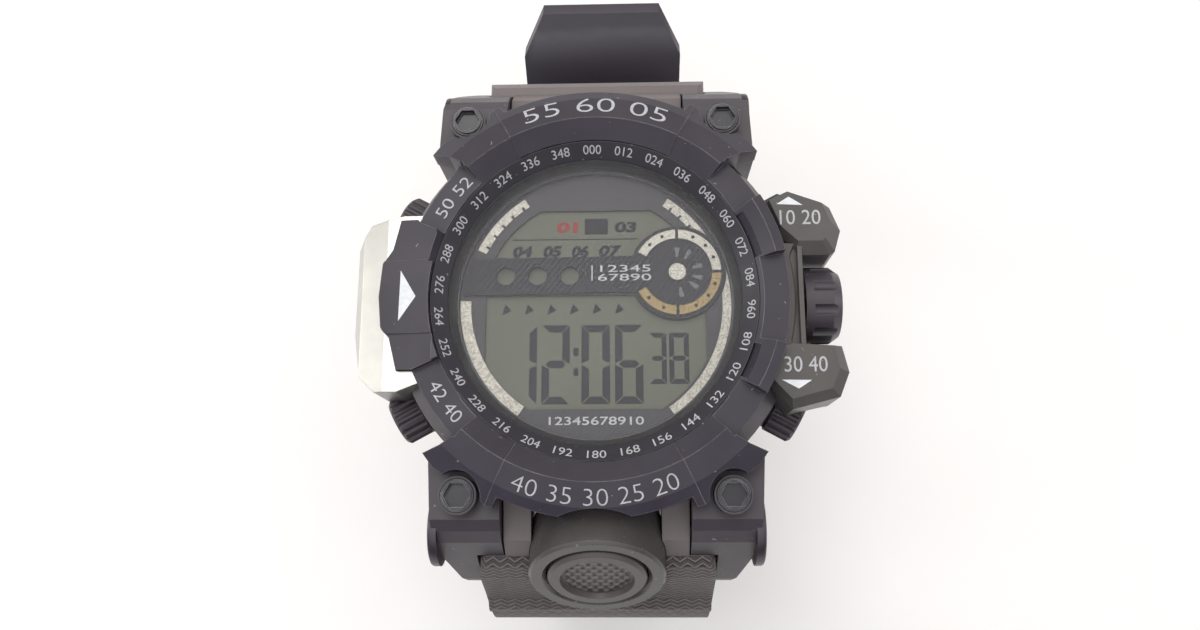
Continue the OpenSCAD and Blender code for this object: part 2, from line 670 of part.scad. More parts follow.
side_z = -6.6;
pusher_low = cap_reach - cap_l;
pusher_floor = pusher_low - push_travel - 0.3;
side_low = side_reach - side_l;
side_floor = side_low - big_travel - 0.2;
seal_at = (cavity_r + pusher_floor) / 2;
clip_at = cavity_r - 0.5;
clip_thick = 0.3;
stem_end = cavity_r - 1.1;
module button_bore(recess_r, floor_at) {
    translate([0, 0, floor_at]) cylinder(r = recess_r, h = 9);
    translate([0, 0, cavity_r - 4]) cylinder(r = stem_r + run_gap, h = 12);
    translate([0, 0, seal_at - 0.4]) cylinder(r = stem_r + 0.8, h = 0.8);
}
// A knurled pusher along +Z, with a hollow for its spring
module pusher(a) {
    low = pusher_low;
    rim = 0.35;
    radial(a, button_z) difference() {
        union() {
            difference() {
                rotate_extrude() polygon([[0, low], [cap_r - 0.25, low], [cap_r - 0.25, low + 0.8], [cap_r, low + 1],
                    [cap_r, cap_reach - rim], [cap_r - rim, cap_reach], [0, cap_reach]]);
                translate([0, 0, low - 1]) cylinder(r = cap_r - 0.65, h = 3.2);
                for (k = [0:17]) rotate([0, 0, k * 20]) translate([cap_r + 0.14, 0, low + 1.1])
                    cylinder(r = 0.36, h = 9, $fn = 24);
            }
            translate([0, 0, stem_end]) cylinder(r = stem_r, h = low + 3 - stem_end);
        }
        translate([0, 0, clip_at]) difference() {
            cylinder(r = 3, h = clip_thick);
            cylinder(r = stem_r - 0.25, h = clip_thick);
        }
    }
}
module stem_clip(a, z, r = 1.9) {
    radial(a, z) translate([0, 0, clip_at]) difference() {
        cylinder(r = r, h = clip_thick);
        translate([0, 0, -1]) cylinder(r = stem_r - 0.25, h = 3);
        translate([0, -0.55, -1]) cube([4, 1.1, 3]);
    }
}
module pusher_spring(a) {
    radial(a, button_z) translate([0, 0, pusher_floor]) coil(1.6, 0.18, 3.5, pusher_low + 2.2 - pusher_floor);
}
module start_button() { color(resin) head() pusher(pusher_a); }
module reset_button() { color(resin) head() pusher(-pusher_a); }
module light_button() { color(resin) head() pusher(180 - pusher_a); }
module mode_button() { color(resin) head() pusher(180 + pusher_a); }
module start_clip() { color(steel) head() stem_clip(pusher_a, button_z); }
module reset_clip() { color(steel) head() stem_clip(-pusher_a, button_z); }
module light_clip() { color(steel) head() stem_clip(180 - pusher_a, button_z); }
module mode_clip() { color(steel) head() stem_clip(180 + pusher_a, button_z); }
module start_spring() { color(steel) head() pusher_spring(pusher_a); }
module reset_spring() { color(steel) head() pusher_spring(-pusher_a); }
module light_spring() { color(steel) head() pusher_spring(180 - pusher_a); }
module mode_spring() { color(steel) head() pusher_spring(180 + pusher_a); }
module stem_seal() {
    rotate_extrude() translate([stem_r + 0.42, 0]) circle(r = 0.36, $fn = 32);
}
module stem_seals() {
    color(black_rubber) head() {
        for (a = [pusher_a, -pusher_a, 180 - pusher_a, 180 + pusher_a])
            radial(a, button_z) translate([0, 0, seal_at]) stem_seal();
        radial(0, side_z) translate([0, 0, seal_at]) stem_seal();
    }
}

// Fluted button at 3 o'clock
module side_button() {
    color(resin) head() radial(0, side_z) difference() {
        union() {
            difference() {
                rotate_extrude() polygon([[0, side_low], [side_r, side_low], [side_r, side_reach - 1],
                    [side_r - 0.7, side_reach], [0, side_reach]]);
                translate([0, 0, side_low - 1]) cylinder(r = 2.8, h = 3.2);
                for (k = [0:9]) rotate([0, 0, 18 + k * 36]) translate([side_r + 0.25, 0, side_low + 0.9])
                    cylinder(r = 0.65, h = 9, $fn = 32);
                translate([0, 0, side_reach - 0.3]) cylinder(r = 2.6, h = 2);
            }
            translate([0, 0, stem_end]) cylinder(r = stem_r, h = side_low + 3 - stem_end);
        }
        translate([0, 0, clip_at]) difference() {
            cylinder(r = 3, h = clip_thick);
            cylinder(r = stem_r - 0.25, h = clip_thick);
        }
    }
}
module side_clip() { color(steel) head() stem_clip(0, side_z, 1.5); }
module side_spring() {
    color(steel) head() radial(0, side_z) translate([0, 0, side_floor])
        coil(2.1, 0.22, 3.5, side_low + 2.2 - side_floor);
}

// Front button at 6 o'clock
module front_housing() {
    color(resin) head() difference() {
        at_front() rotate_extrude() polygon([[0, -front_depth], [front_r, -front_depth], [front_r, -0.3],
            [front_r - 0.3, 0], [front_bore_r + 0.45, 0], [front_bore_r, -0.5], [front_bore_r, -front_bore_l],
            [0, -front_bore_l]]);
        translate([-9, -40, lug_bottom - 10]) cube([18, 30, 10]);
        // parting line across the face
        at_front() for (s = [-1, 1]) translate([s * (front_r + 3) - 3.2, -0.12, -0.25]) cube([6.4, 0.24, 2]);
    }
}
front_cap_l = 3;
module front_button() {
    color(resin) head() at_front() rotate_extrude() polygon([[0, -1.3], [2.2, -1.3], [2.2, -front_cap_l],
        [front_cap_r, -front_cap_l], [front_cap_r, -0.1], [front_cap_r - 0.35, 0.25], [4.05, 0.25],
        [3.9, -0.35], [0, -0.35]]);
}
module front_spring() {
    color(steel) head() at_front() translate([0, 0, -front_bore_l]) coil(1.7, 0.2, 3.5, front_bore_l - 1.3);
}

// Guards

left_guard_plan = [[-17, 9.3], [-20.9, 9.3], [-24.6, 8.4], [-26.2, 5.9], [-26.3, -3.7], [-25.3, -8.5],
    [-23.5, -10.2], [-21.1, -10.2], [-17, -8.6]];
module left_guard() {
    color(silver) head() difference() {
        intersection() {
            translate([0, 0, -12]) linear_extrude(14) polygon(left_guard_plan);
            translate([0, 12, 0]) rotate([90, 0, 0]) linear_extrude(24) polygon([[-17, -1], [-22.6, -1.1],
                [-25.4, -2], [-26.4, -3.4], [-26.4, -7.6], [-25, -10], [-17, -10]]);
        }
        guard_seat();
        guard_pushers(180);
        // room for the bezel's dark plate
        translate([0, 0, -4.4 - fit_gap]) linear_extrude(8) bezel_gap_plan();
    }
}
module bezel_gap_plan() {
    circle(r = low_r + fit_gap);
    polygon([for (p = left_plate) [p[0] - 0.08, p[1] * 1.01]]);
}
module guard_seat() {
    rotate_extrude() polygon([[0, -13], [case_r + fit_gap, -13], [case_r + fit_gap, -4.3],
        [low_r + fit_gap, case_top + fit_gap], [0, case_top + fit_gap]]);
}
module guard_pushers(side) {
    for (s = [-1, 1]) radial(side + s * pusher_a, button_z) translate([0, 0, 15]) cylinder(r = cap_r + 0.35, h = 20);
}
start_plan = [[19.6, 8.6], [18.7, 10.4], [21.2, 11.6], [25.75, 9.95], [26.8, 7.3], [26.1, 4.95], [25.6, 4.6],
    [22.4, 4.6], [20.2, 6.7]];
reset_plan = [[19.9, -5.6], [21.2, -5.2], [26.3, -5.5], [26.95, -8.3], [25.9, -10.9], [20.9, -12.2], [18.6, -9.7],
    [19.5, -7.6]];
function inset(pts, c, k) = [for (p = pts) c + (p - c) * k];
module guard_block(pts, c, top, low, k) {
    // a block with sloping edges on the sides that face away from c
    hull() {
        translate([0, 0, low]) linear_extrude(top - 1 - low) polygon(pts);
        translate([0, 0, top - 0.1]) linear_extrude(0.1) polygon(inset(pts, c, k));
    }
}
module right_guard() {
    color(resin) head() difference() {
        union() {
            guard_block(start_plan, [20.6, 11.4], -0.9, -9.6, 0.8);
            guard_block(reset_plan, [19.8, -6], -0.9, -9.6, 0.84);
            // rim between the blocks, round the side button
            translate([case_r - 0.35, -6.5, -11.4]) cube([0.5, 12.4, 10.1]);
        }
        guard_seat();
        guard_pushers(0);
        radial(0, side_z) translate([0, 0, 15]) cylinder(r = side_r + 0.2, h = 20);
        translate([0, 0, case_top - fit_gap]) linear_extrude(6) circle(r = low_r + fit_gap);
    }
}

// Strap

function half_at_head() = strap_w_head / 2;
module strap_sides() {
    // both straps narrow evenly from the head down to the buckle
    translate([0, 60, 0]) rotate([90, 0, 0]) linear_extrude(120) polygon([[-strap_w / 2, -1],
        [strap_w / 2, -1], [strap_w / 2, long_t], [half_at_head(), head_z], [half_at_head(), ring_z],
        [-half_at_head(), ring_z], [-half_at_head(), head_z], [-strap_w / 2, long_t]]);
}
// The moulded end of a strap between the lugs: a full-width block and a tongue round the pins
module strap_end(ear_in) {
    out = [cos(head_slope), -sin(head_slope)];
    up = [-out[1], out[0]] * head_t / 2;
    from = [head_y, head_z - ring_z];
    in_y = lug_split_y + fit_gap;
    block = [[in_y, -9.4], [28.4, -9.5], [29.6, -11], from + up, from + up + 0.6 * out, from - up + 0.6 * out,
        from - up, [in_y, from[1] - 0.6]];
    tongue = [[21.25, -6.3], [25.6, -7.1], [27.7, -9.8], [27.7, -15.6], [24, -15], [21.25, -12.3]];
    w = strap_w_head / 2;
    intersection() {
        across(strap_w_head) polygon(block);
        // rounded upper corners
        translate([0, 45, 0]) rotate([90, 0, 0]) linear_extrude(30) polygon([[-w, -40], [w, -40],
            [w, -10.8], [w - 0.25, -10], [w - 0.9, -9.3], [0.9 - w, -9.3], [0.25 - w, -10], [-w, -10.8]]);
    }
    difference() {
        union() {
            across(2 * tongue_x) polygon(tongue);
            translate([0, pin_y, pin_z]) rotate([0, 90, 0]) cylinder(r = 1.85, h = 2 * tongue_x, center = true);
        }
        if (ear_in > 0) translate([-ear_in, 10, -20]) cube([2 * ear_in, 30, 20]);
        translate([0, 0, -21]) cylinder(r = case_r + press_gap, h = 20);
    }
}
module pin_bores() {
    translate([0, pin_y, pin_z]) rotate([0, 90, 0]) cylinder(r = pin_r + fit_gap, h = 40, center = true);
}
// Raised rib across the strap where it turns down
module strap_rib() {
    across(strap_w_head - 0.2) polygon([[31.2, -16.4], [33.4, -18], [33.7, -19], [31.9, -19.8]]);
}
module short_strap() {
    st = stations(short_start, short_legs);
    color(soft_resin) difference() {
        union() {
            intersection() {
                across(40) polygon(outline(st, short_t));
                strap_sides();
            }
            head() strap_end(0);
            translate([0, bar[0], bar[1]]) rotate([0, 90, 0]) cylinder(r = short_t / 2 - 0.02, h = strap_w - 0.1, center = true);
        }
        head() pin_bores();
        translate([0, bar[0], bar[1]]) rotate([0, 90, 0]) cylinder(r = bar_r + run_gap, h = 40, center = true);
        // slot for the prong's eye
        translate([-prong_w / 2 - 0.3, bar[0] - 4, bar[1] - 4]) cube([prong_w + 0.6, 6, 8]);
    }
}
hole_from = len_before(long_legs, 4) + long_runs[1] - 4.1;
module long_strap() {
    st = stations(long_start, long_legs);
    color(soft_resin) difference() {
        union() {
            intersection() {
                across(40) polygon(outline(st, long_t));
                union() {
                    intersection() {
                        strap_sides();
                        translate([-20, -60, -1]) cube([40, 60 + flat_back + 0.5, 80]);
                    }
                    translate([-strap_w / 2, flat_back + 0.5, -1]) cube([strap_w, 80, 80]);
                }
            }
            head() mirror([0, 1, 0]) { strap_end(7.05); strap_rib(); }
        }
        head() {
            mirror([0, 1, 0]) pin_bores();
            // notch round the front button's housing
            at_front() translate([0, 0, -front_depth - 6]) cylinder(r = front_r + 0.05, h = 20);
        }
        // holes for the prong
        for (k = [0:7]) hole_at(hole_from + k * hole_pitch);
        // slanting corners and narrow sides of the free end
        for (s = [-1, 1]) at_tip() translate([s * (strap_w / 2 + 5 - (strap_w - tail_w) / 2), -20, 0])
            cube([10, 40, 20], center = true);
        for (s = [-1, 1]) at_tip() translate([s * (tail_w / 2 + 0.5), 0.6, 0]) rotate([0, 0, s * 24.8])
            translate([0, 0, -5]) tip_cut(s);
    }
}
module tip_cut(s) { translate([s > 0 ? -0.4 : -7.6, -9, 0]) cube([8, 18, 10]); }
// Frame at the free end's tip: local Y runs out along the strap, local Z through it
module at_tip() { translate([0, tip[0], tip[1]]) rotate([tip[2], 0, 0]) children(); }
function place_at(s, i = 0) = i >= len(long_legs) - 1 || s < len_before(long_legs, i + 1)
    ? let (u = s - len_before(long_legs, i), g = long_legs[i])
      leg_end(leg_start(long_start, long_legs, i), [u, g[1] * u / g[0]])
    : place_at(s, i + 1);
module hole_at(s) {
    p = place_at(s);
    translate([0, p[0], p[1]]) rotate([p[2], 0, 0]) translate([-hole_w / 2, -2, -3]) cube([hole_w, 4, 6]);
}
module strap_pins() {
    color(steel) head() quads() translate([pin_head_x, pin_y, pin_z]) rotate([0, 90, 0]) {
        rotate_extrude() polygon([[0, 0], [pin_head_r, 0], [pin_head_r, pin_head_t - 0.4],
            [pin_head_r - 0.4, pin_head_t], [0, pin_head_t]]);
        translate([0, 0, pin_in_x - pin_head_x]) cylinder(r = pin_r, h = pin_head_x - pin_in_x);
    }
}
keeper_wall = 1.3;
keeper_room = 0.2;
keeper_at = 5.5;
module strap_keeper() {
    p = leg_end(rise_start, [keeper_at, 0]);
    low = -long_t / 2 - keeper_room;
    high = lay + short_t / 2 + keeper_room;
    w = strap_w + 1.6;
    color(soft_resin) translate([0, p[0], p[1]]) rotate([p[2], 0, 0]) difference() {
        translate([-w / 2 - keeper_wall, -keeper_l / 2, low - keeper_wall])
            cube([w + 2 * keeper_wall, keeper_l, high - low + 2 * keeper_wall]);
        translate([-w / 2, -keeper_l, low]) cube([w, 2 * keeper_l, high - low]);
    }
}

// Buckle
end_bar_y = [-18.5, -15.6];
end_bar_h = 1.85;
module buckle_frame() {
    arm = [[bar[0] + 1.5, bar[1] - 0.6], [bar[0] + 1.2, bar[1] + 1.2], [bar[0], bar[1] + 1.6],
        [bar[0] - 1.6, bar[1] + 1.2], [end_bar_y[1], 3.2], [end_bar_y[0], 2.2], [end_bar_y[0], 0],
        [end_bar_y[1] + 1, 0], [bar[0] - 1, bar[1] - 1.7], [bar[0] + 0.6, bar[1] - 1.6]];
    color(steel) difference() {
        union() {
            for (s = [-1, 1]) translate([s * (arm_in + arm_t / 2), 0, 0]) across(arm_t) polygon(arm);
            across(2 * arm_in + 0.02) polygon([[end_bar_y[0], 0], [end_bar_y[1], 0],
                [end_bar_y[1], end_bar_h], [end_bar_y[0], end_bar_h + 0.35]]);
        }
        translate([0, bar[0], bar[1]]) rotate([0, 90, 0]) cylinder(r = bar_r, h = 60, center = true);
        // notch that takes the prong's tip
        translate([-prong_w / 2 - 0.15, end_bar_y[0] - 1, -1])
            cube([prong_w + 0.3, 5, prong_low + prong_t + 1.1]);
    }
}
module buckle_bar() {
    color(steel) translate([0, bar[0], bar[1]]) rotate([0, 90, 0]) cylinder(r = bar_r, h = bar_l, center = true);
}
module buckle_prong() {
    hole = place_at(hole_from);
    mid = prong_low + prong_t / 2;
    line = [[bar[0] - 0.9, bar[1] + 0.3], [hole[0] - 0.2, hole[1] + 1.7], [hole[0] - 1.6, mid],
        [end_bar_y[0] + 0.1, mid]];
    color(steel) difference() {
        union() {
            across(prong_w) polygon(band(line, prong_t));
            translate([0, bar[0], bar[1]]) rotate([0, 90, 0]) cylinder(r = eye_r, h = prong_w, center = true);
        }
        translate([0, bar[0], bar[1]]) rotate([0, 90, 0]) cylinder(r = bar_r + run_gap, h = 10, center = true);
    }
}

case_body();
case_back();
back_gasket();
back_screws();
bezel();
bezel_screws();
number_ring();
crystal();
crystal_gasket();
dial_mask();
dial_bridge();
dial_arcs();
small_dial_ring();
lcd_panel();
light_guide();
lcd_connectors();
circuit_board();
timing_chip();
quartz_can();
backlight_led();
switch_tabs();
module_frame();
coin_cell();
cell_clip();
buzzer_disc();
buzzer_spring();
left_guard();
right_guard();
front_housing();
front_button();
front_spring();
side_button();
side_clip();
side_spring();
start_button();
start_clip();
start_spring();
reset_button();
reset_clip();
reset_spring();
light_button();
light_clip();
light_spring();
mode_button();
mode_clip();
mode_spring();
stem_seals();
strap_pins();
short_strap();
long_strap();
strap_keeper();
buckle_frame();
buckle_bar();
buckle_prong();
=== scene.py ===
"""Digital sports watch: looks, lettering, floor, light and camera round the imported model."""
import math

import bpy
import bmesh
from mathutils import Matrix, Vector


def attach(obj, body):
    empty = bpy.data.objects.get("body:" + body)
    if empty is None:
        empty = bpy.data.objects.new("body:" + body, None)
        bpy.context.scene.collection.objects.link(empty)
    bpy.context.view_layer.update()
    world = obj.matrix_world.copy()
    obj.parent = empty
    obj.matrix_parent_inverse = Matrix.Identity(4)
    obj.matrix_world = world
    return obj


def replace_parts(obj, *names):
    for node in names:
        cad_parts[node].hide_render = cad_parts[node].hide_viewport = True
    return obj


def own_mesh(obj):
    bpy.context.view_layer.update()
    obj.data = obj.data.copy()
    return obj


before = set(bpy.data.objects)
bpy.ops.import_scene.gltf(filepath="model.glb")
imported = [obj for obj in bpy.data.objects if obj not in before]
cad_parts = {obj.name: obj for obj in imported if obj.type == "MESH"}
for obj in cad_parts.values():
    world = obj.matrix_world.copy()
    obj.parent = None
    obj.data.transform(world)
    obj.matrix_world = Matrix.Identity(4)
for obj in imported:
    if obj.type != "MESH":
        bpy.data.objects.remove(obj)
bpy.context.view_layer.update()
scene = bpy.context.scene

MM = 0.001
# Height of the head's zero plane over the table, in mm; drawings on the head are in mm from its middle
HEAD_Z = 66.0
# Middles of the small dial and of the front button's face, in mm
SMALL_DIAL = (9.1, 3.45)
FRONT_BUTTON = (0.05, -29.6, 58.1)
# How steeply the front button's face and the strap's free end rise from level
FRONT_TILT = math.radians(60)
TAIL_TILT = math.radians(59)
# Shading sizes in metres: softened edges and fine grain
EDGE = 0.00014
GRAIN = 0.00002


# Node helpers

def new_material(name):
    """A material with its node tree and its main shader."""
    m = bpy.data.materials.new(name)
    m.use_nodes = True
    t = m.node_tree
    return m, t, t.nodes["Principled BSDF"]


def feed(t, socket, value):
    """Gives a socket a number, three colour values or another node's output."""
    if isinstance(value, tuple):
        socket.default_value = (*value, 1)
    elif isinstance(value, (int, float)):
        socket.default_value = value
    else:
        t.links.new(value, socket)


def calc(t, operation, *values):
    """One step of arithmetic on outputs or numbers."""
    n = t.nodes.new("ShaderNodeMath")
    n.operation = operation
    for socket, value in zip(n.inputs, values):
        feed(t, socket, value)
    return n.outputs[0]


def blend(t, share, first, second):
    """Two colours mixed by an output."""
    n = t.nodes.new("ShaderNodeMix")
    n.data_type = "RGBA"
    for key, value in (("Factor", share), ("A", first), ("B", second)):
        feed(t, n.inputs[key], value)
    return n.outputs["Result"]


def ramp(t, value, stops):
    """A colour ramp over stops, each a position and three colour values."""
    n = t.nodes.new("ShaderNodeValToRGB")
    elements = n.color_ramp.elements
    while len(elements) > 1:
        elements.remove(elements[0])
    for i, (position, color) in enumerate(stops):
        e = elements[0] if i == 0 else elements.new(position)
        e.position = position
        e.color = (*color, 1)
    feed(t, n.inputs["Fac"], value)
    return n.outputs["Color"]


def span(t, value, low, high, start=0.0, stop=1.0, kind="LINEAR"):
    """A value between start and stop, spread between low and high."""
    n = t.nodes.new("ShaderNodeMapRange")
    n.interpolation_type = kind
    for key, number in (("From Min", start), ("From Max", stop), ("To Min", low), ("To Max", high)):
        n.inputs[key].default_value = number
    feed(t, n.inputs["Value"], value)
    return n.outputs["Result"]


def split(t, vector):
    """The three parts of a vector."""
    n = t.nodes.new("ShaderNodeSeparateXYZ")
    feed(t, n.inputs["Vector"], vector)
    return n.outputs["X"], n.outputs["Y"], n.outputs["Z"]


def place(t, kind="Object"):
    """The place on a piece, or the direction for the world."""
    return t.nodes.new("ShaderNodeTexCoord").outputs[kind]


def facing(t, kind="Normal"):
    """The direction that a surface faces."""
    return t.nodes.new("ShaderNodeNewGeometry").outputs[kind]


def noise(t, scale, detail=3.0, rough=0.55):
    """Soft random patches; a higher scale makes them smaller."""
    n = t.nodes.new("ShaderNodeTexNoise")
    for key, number in (("Scale", scale), ("Detail", detail), ("Roughness", rough)):
        n.inputs[key].default_value = number
    feed(t, n.inputs["Vector"], place(t))
    return n.outputs["Fac"]


def rounded(t):
    """The normal of softly rounded edges."""
    n = t.nodes.new("ShaderNodeBevel")
    n.samples = 4
    n.inputs["Radius"].default_value = EDGE
    return n.outputs["Normal"]


def bump(t, b, height, strength, distance=GRAIN, base=None):
    """Relief in the shading, on top of the base normal where there is one."""
    n = t.nodes.new("ShaderNodeBump")
    n.inputs["Strength"].default_value = strength
    n.inputs["Distance"].default_value = distance
    feed(t, n.inputs["Height"], height)
    if base is not None:
        feed(t, n.inputs["Normal"], base)
    feed(t, b.inputs["Normal"], n.outputs["Normal"])
    return n.outputs["Normal"]


def sine(t, value, pitch):
    """A wave over an output, repeating at the pitch."""
    return calc(t, "SINE", calc(t, "MULTIPLY", value, 2 * math.pi / pitch))


def turned(t, a, b, angle):
    """How far the point a, b lies in a direction at that angle from a."""
    return calc(t, "ADD", calc(t, "MULTIPLY", a, math.cos(angle)), calc(t, "MULTIPLY", b, math.sin(angle)))


def length(t, a, b):
    """How far the point a, b lies from the middle."""
    return calc(t, "SQRT", calc(t, "ADD", calc(t, "MULTIPLY", a, a), calc(t, "MULTIPLY", b, b)))


# Kinds of material

def moulded(name, dark, light, rough, grain=2600.0, strength=0.25, edge_highlight_color=(0.17, 0.165, 0.17), edge_highlight_strength=0.6):
    """Moulded resin: two tones in soft blotches, fine grain, uneven gloss, painted highlights in patches along the
    rounded edges, and specks of dust.
    """
    blotches, patches, specks = 140.0, 420.0, 1900.0
    m, t, b = new_material(name)
    soft = rounded(t)
    n = t.nodes.new("ShaderNodeVectorMath")
    n.operation = "DOT_PRODUCT"
    feed(t, n.inputs[0], soft)
    feed(t, n.inputs[1], facing(t))
    edge = calc(t, "MINIMUM", calc(t, "MULTIPLY", calc(t, "SUBTRACT", 1.0, n.outputs["Value"]), 9.0), 1.0)
    patch = calc(t, "MINIMUM", calc(t, "MAXIMUM", span(t, noise(t, patches), -0.5, 1.6), 0.0), 1.0)
    # Painted highlight: along the rounded edges the colour is lifted towards a light tone, in patches
    edge_highlight = calc(t, "MULTIPLY", edge, calc(t, "MULTIPLY", patch, edge_highlight_strength))
    dust = calc(t, "MULTIPLY", calc(t, "GREATER_THAN", noise(t, specks, 1.0), 0.765), 0.5)
    tone = blend(t, edge_highlight, ramp(t, noise(t, blotches), [(0.3, dark), (0.7, light)]), edge_highlight_color)
    feed(t, b.inputs["Base Color"], blend(t, dust, tone, (0.32, 0.31, 0.30)))
    feed(t, b.inputs["Roughness"], span(t, noise(t, blotches * 3), rough - 0.06, rough + 0.08))
    bump(t, b, noise(t, grain, 2.0), strength, base=soft)
    return m


def metal(name, color, rough=0.3):
    """Metal with slightly uneven tone and gloss."""
    grain = 900.0
    m, t, b = new_material(name)
    b.inputs["Metallic"].default_value = 1.0
    dim = tuple(c * 0.86 for c in color)
    feed(t, b.inputs["Base Color"], ramp(t, noise(t, grain * 0.3), [(0.3, dim), (0.7, color)]))
    feed(t, b.inputs["Roughness"], span(t, noise(t, grain), rough - 0.07, rough + 0.1))
    bump(t, b, noise(t, grain * 2, 1.0), 0.08, base=rounded(t))
    return m


def plain(name, color, rough=0.5, vary=0.12, grain=700.0, gloss=0.5):
    """Small inner pieces and prints: one tone with a little variation."""
    m, t, b = new_material(name)
    b.inputs["Specular IOR Level"].default_value = gloss
    low = tuple(c * (1 - vary) for c in color)
    high = tuple(min(1.0, c * (1 + vary)) for c in color)
    feed(t, b.inputs["Base Color"], ramp(t, noise(t, grain), [(0.35, low), (0.65, high)]))
    b.inputs["Roughness"].default_value = rough
    bump(t, b, noise(t, grain * 2), 0.05)
    return m


def guard_metal():
    """Blasted silver of the left guard, with painted shade on the faces that look towards 6 o'clock."""
    m = metal("silver guard", (0.62, 0.615, 0.575), 0.34)
    t = m.node_tree
    color = t.nodes["Principled BSDF"].inputs["Base Color"]
    # Painted shade: the colour darkens towards a dark grey on faces turned towards 6 o'clock
    painted_shade = span(t, split(t, facing(t))[1], 0.0, 0.8, -0.2, -0.7)
    feed(t, color, blend(t, painted_shade, color.links[0].from_socket, (0.15, 0.145, 0.14)))
    return m


def woven():
    """Strap resin with a moulded herringbone on its outer side, its rows running across the strap."""
    # In metres, apart from the slant: the herringbone, then where the parts of the closed strap begin
    half_stripe, slant, pitch = 0.00082, 0.7, 0.00074
    lugs_middle, lugs_reach = 0.0022, 0.02945
    loop_middle, loop_inside, loop_outside = 0.03, 0.008, 0.0112
    lean = math.radians(40)
    m, t, b = new_material("strap resin")
    x, y, z = split(t, place(t))
    rows = calc(t, "SUBTRACT", calc(t, "ABSOLUTE", y), z)
    zigzag = calc(t, "PINGPONG", calc(t, "ADD", x, 0.05), half_stripe)
    wave = sine(t, calc(t, "MULTIPLY_ADD", zigzag, slant, rows), pitch)
    # The tongues between the lugs, the inner side, the edges and the tip of the free end stay smooth
    past_lugs = calc(t, "GREATER_THAN", calc(t, "ABSOLUTE", calc(t, "SUBTRACT", y, lugs_middle)), lugs_reach)
    _, ny, nz = split(t, facing(t, "True Normal"))
    outward = calc(t, "MULTIPLY_ADD", calc(t, "SUBTRACT", z, loop_middle), nz, calc(t, "MULTIPLY", y, ny))
    outer = calc(t, "MULTIPLY", past_lugs, calc(t, "GREATER_THAN", outward, loop_inside))
    off_loop = calc(t, "GREATER_THAN", turned(t, y, z, -lean), loop_outside)
    tip = calc(t, "MULTIPLY", off_loop, calc(t, "GREATER_THAN", nz, 0.3))
    wave = calc(t, "MULTIPLY", wave, calc(t, "MULTIPLY", outer, calc(t, "SUBTRACT", 1.0, tip)))
    # Painted shade: the free end is darker than the rest
    painted_tail_shade = calc(t, "MULTIPLY", span(t, turned(t, z, y, lean), 0.0, 1.0, 0.0405, 0.0455), off_loop)
    tone = ramp(t, noise(t, 120), [(0.3, (0.084, 0.070, 0.075)), (0.7, (0.108, 0.093, 0.095))])
    # Painted highlight and shade: the colour is mixed towards a light tone by 0.4 where smooth, more on the
    # herringbone's crests and less in its hollows
    tone = blend(t, calc(t, "MULTIPLY_ADD", wave, 0.4, 0.4), tone, (0.25, 0.22, 0.21))
    feed(t, b.inputs["Base Color"], blend(t, painted_tail_shade, tone, (0.044, 0.039, 0.052)))
    feed(t, b.inputs["Roughness"], span(t, noise(t, 500), 0.42, 0.58))
    fine = bump(t, b, noise(t, 2400.0, 2.0), 0.3, base=rounded(t))
    bump(t, b, wave, 1.0, 0.00022, base=fine)
    return m


def dial_weave(name, low, high, pitch, strength, gloss):
    """Printed dial with fine slanting lines."""
    m, t, b = new_material(name)
    x, y, _ = split(t, place(t))
    wave = sine(t, turned(t, x, y, math.radians(-38)), pitch)
    feed(t, b.inputs["Base Color"], ramp(t, calc(t, "MULTIPLY_ADD", wave, 0.5, 0.5), [(0.2, low), (0.8, high)]))
    b.inputs["Roughness"].default_value = 0.45
    b.inputs["Specular IOR Level"].default_value = gloss
    bump(t, b, wave, strength, 0.00004)
    return m


def scale_button():
    """Front button: a middle of small staggered scales inside a smooth rim."""
    # In metres: how far the scales repeat across and up the face, and the radius of their field
    wide, tall, field = 0.0012, 0.0015, 0.0036
    m, t, b = new_material("front button resin")
    u, y, z = (calc(t, "SUBTRACT", part, c * MM) for part, c in zip(split(t, place(t)), FRONT_BUTTON))
    v = turned(t, y, z, FRONT_TILT)
    scales = calc(t, "MULTIPLY", sine(t, u, wide), sine(t, v, tall))
    scales = calc(t, "MULTIPLY", scales, calc(t, "LESS_THAN", length(t, u, v), field))
    # Painted highlight and shade: the scales' crests are coloured lighter and their hollows darker, besides their
    # bump
    tones = [(0.2, (0.040, 0.034, 0.036)), (0.5, (0.085, 0.074, 0.074)), (0.8, (0.160, 0.142, 0.138))]
    feed(t, b.inputs["Base Color"], ramp(t, calc(t, "MULTIPLY_ADD", scales, 0.5, 0.5), tones))
    feed(t, b.inputs["Roughness"], span(t, noise(t, 500), 0.30, 0.42))
    bump(t, b, scales, 0.9, 0.00012, base=rounded(t))
    return m


def speckled(name, two_tone=False):
    """Silver dial trim with a fine sparkle; the small dial's lower half is amber."""
    m, t, b = new_material(name)
    b.inputs["Metallic"].default_value = 0.55
    sparkle = noise(t, 5200.0, 2.0, 0.7)
    tone = ramp(t, sparkle, [(0.35, (0.22, 0.21, 0.185)), (0.62, (0.50, 0.485, 0.42))])
    if two_tone:
        x, y, _ = split(t, place(t))
        amber = ramp(t, sparkle, [(0.35, (0.13, 0.095, 0.035)), (0.62, (0.31, 0.23, 0.10))])
        dx = calc(t, "SUBTRACT", x, SMALL_DIAL[0] * MM)
        dy = calc(t, "SUBTRACT", y, SMALL_DIAL[1] * MM)
        off_hub = calc(t, "GREATER_THAN", length(t, dx, dy), 0.002)
        tone = blend(t, calc(t, "MULTIPLY", calc(t, "LESS_THAN", dy, 0.0), off_hub), tone, amber)
    feed(t, b.inputs["Base Color"], tone)
    feed(t, b.inputs["Roughness"], span(t, noise(t, 1500), 0.34, 0.5))
    bump(t, b, sparkle, 0.35)
    return m


def glass():
    """Clear crystal with a faint haze."""
    m, _, b = new_material("crystal glass")
    b.inputs["Base Color"].default_value = (0.74, 0.74, 0.78, 1)
    b.inputs["Roughness"].default_value = 0.06
    b.inputs["Alpha"].default_value = 0.048
    return m


# Materials

